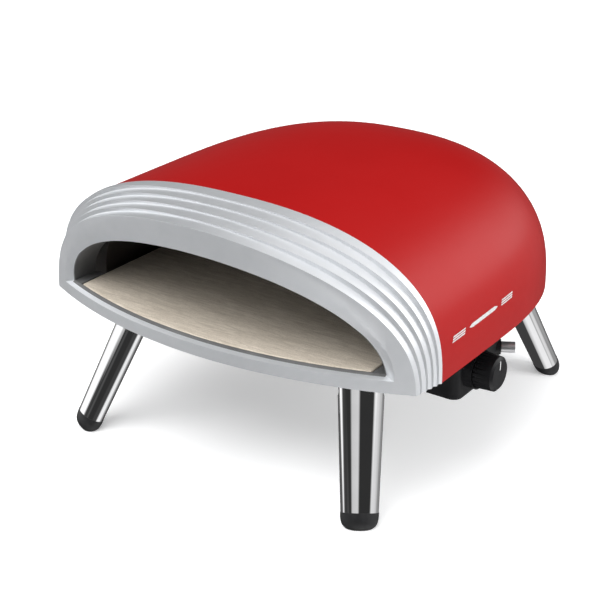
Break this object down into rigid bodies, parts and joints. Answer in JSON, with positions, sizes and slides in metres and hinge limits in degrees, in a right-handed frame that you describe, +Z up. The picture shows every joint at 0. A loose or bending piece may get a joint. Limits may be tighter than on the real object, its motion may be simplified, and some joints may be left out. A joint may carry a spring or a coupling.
{
  "type": "countertop pizza oven",
  "caption": "Domed countertop gas pizza oven with a stepped silver front, wide arched mouth, baking stone, folding splayed legs, control knob and gas inlet",
  "frame": {"origin": "on the resting surface, under the middle of the oven's bounding box", "axes": "+X to the control knob's side, +Y to the rear, +Z up; the mouth faces -Y"},
  "size_m": [0.4316, 0.418, 0.2676],
  "materials": {
    "red_enamel": "satin red baked enamel on steel",
    "silver_casting": "satin silver die-cast aluminium",
    "black_steel": "matt black heat-resistant paint",
    "dark_steel": "heat-tinted stainless steel sheet",
    "steel": "bright stainless steel",
    "stone": "unglazed beige cordierite",
    "fibre": "white ceramic fibre blanket",
    "gasket": "black braided gasket",
    "chrome": "polished chrome plate",
    "black_rubber": "matt black rubber",
    "brass": "machined brass",
    "black_plastic": "satin black moulded plastic",
    "pointer_white": "white inlay",
    "ceramic": "glazed white ceramic",
    "nickel": "nickel-plated fitting",
    "wire_black": "silicone-covered lead"
  },
  "bodies": {
    "root": {"base_pan": "black_steel", "bezel_gasket": "gasket", "bracket_screws": "steel", "burner_brackets": "steel", "burner_tube": "steel", "chamber_liner": "dark_steel", "control_housing": "black_steel", "flame_guard": "dark_steel", "front_bezel": "silver_casting", "gas_feed_pipe": "brass", "gas_injector": "brass", "gas_inlet": "nickel", "gas_valve_body": "brass", "heat_shield": "steel", "housing_screws": "steel", "ignition_lead": "wire_black", "inlet_pipe": "brass", "insulation_blanket": "fibre", "knob_collar": "black_plastic", "leg_bracket_front_left": "black_steel", "leg_bracket_front_right": "black_steel", "leg_bracket_rear_left": "black_steel", "leg_bracket_rear_right": "black_steel", "leg_pin_front_left": "steel", "leg_pin_front_right": "steel", "leg_pin_rear_left": "steel", "leg_pin_rear_right": "steel", "liner_front_ring": "dark_steel", "mixing_tube": "steel", "mouth_sleeve": "dark_steel", "outer_shell": "red_enamel", "pan_screws": "steel", "piezo_igniter": "black_plastic", "pizza_stone": "stone", "spark_electrode": "ceramic", "stone_tray": "steel", "thermocouple": "steel", "tray_posts": "steel"},
    "valve_turn": {"valve_plug": "brass", "knob_return_spring": "steel"},
    "knob": {"valve_stem": "steel", "control_knob": "black_plastic", "knob_pointer": "pointer_white"},
    "leg_front_left": {"leg_front_left": "chrome", "foot_front_left": "black_rubber"},
    "leg_front_right": {"leg_front_right": "chrome", "foot_front_right": "black_rubber"},
    "leg_rear_left": {"leg_rear_left": "chrome", "foot_rear_left": "black_rubber"},
    "leg_rear_right": {"leg_rear_right": "chrome", "foot_rear_right": "black_rubber"}
  },
  "joints": [
    {"name": "knob_turn", "type": "hinge", "parent": "root", "child": "valve_turn", "pos_m": [0.16, -0.0264, 0.1024], "axis": [1, 0, 0], "range_deg": [0, 210]},
    {"name": "knob_push", "type": "slide", "parent": "valve_turn", "child": "knob", "axis": [-1, 0, 0], "range_m": [0, 0.004], "stiffness_N_per_m": 600, "springref_m": -0.003},
    {"name": "leg_fold_front_left", "type": "hinge", "parent": "root", "child": "leg_front_left", "pos_m": [-0.13283, -0.13555, 0.1078], "axis": [0.8398, -0.5429, 0], "range_deg": [0, 115]},
    {"name": "leg_fold_front_right", "type": "hinge", "parent": "root", "child": "leg_front_right", "pos_m": [0.13283, -0.13555, 0.1078], "axis": [0.8398, 0.5429, 0], "range_deg": [0, 115]},
    {"name": "leg_fold_rear_left", "type": "hinge", "parent": "root", "child": "leg_rear_left", "pos_m": [-0.13283, 0.15215, 0.1078], "axis": [-0.8398, -0.5429, 0], "range_deg": [0, 115]},
    {"name": "leg_fold_rear_right", "type": "hinge", "parent": "root", "child": "leg_rear_right", "pos_m": [0.13283, 0.15215, 0.1078], "axis": [-0.8398, 0.5429, 0], "range_deg": [0, 115]}
  ]
}
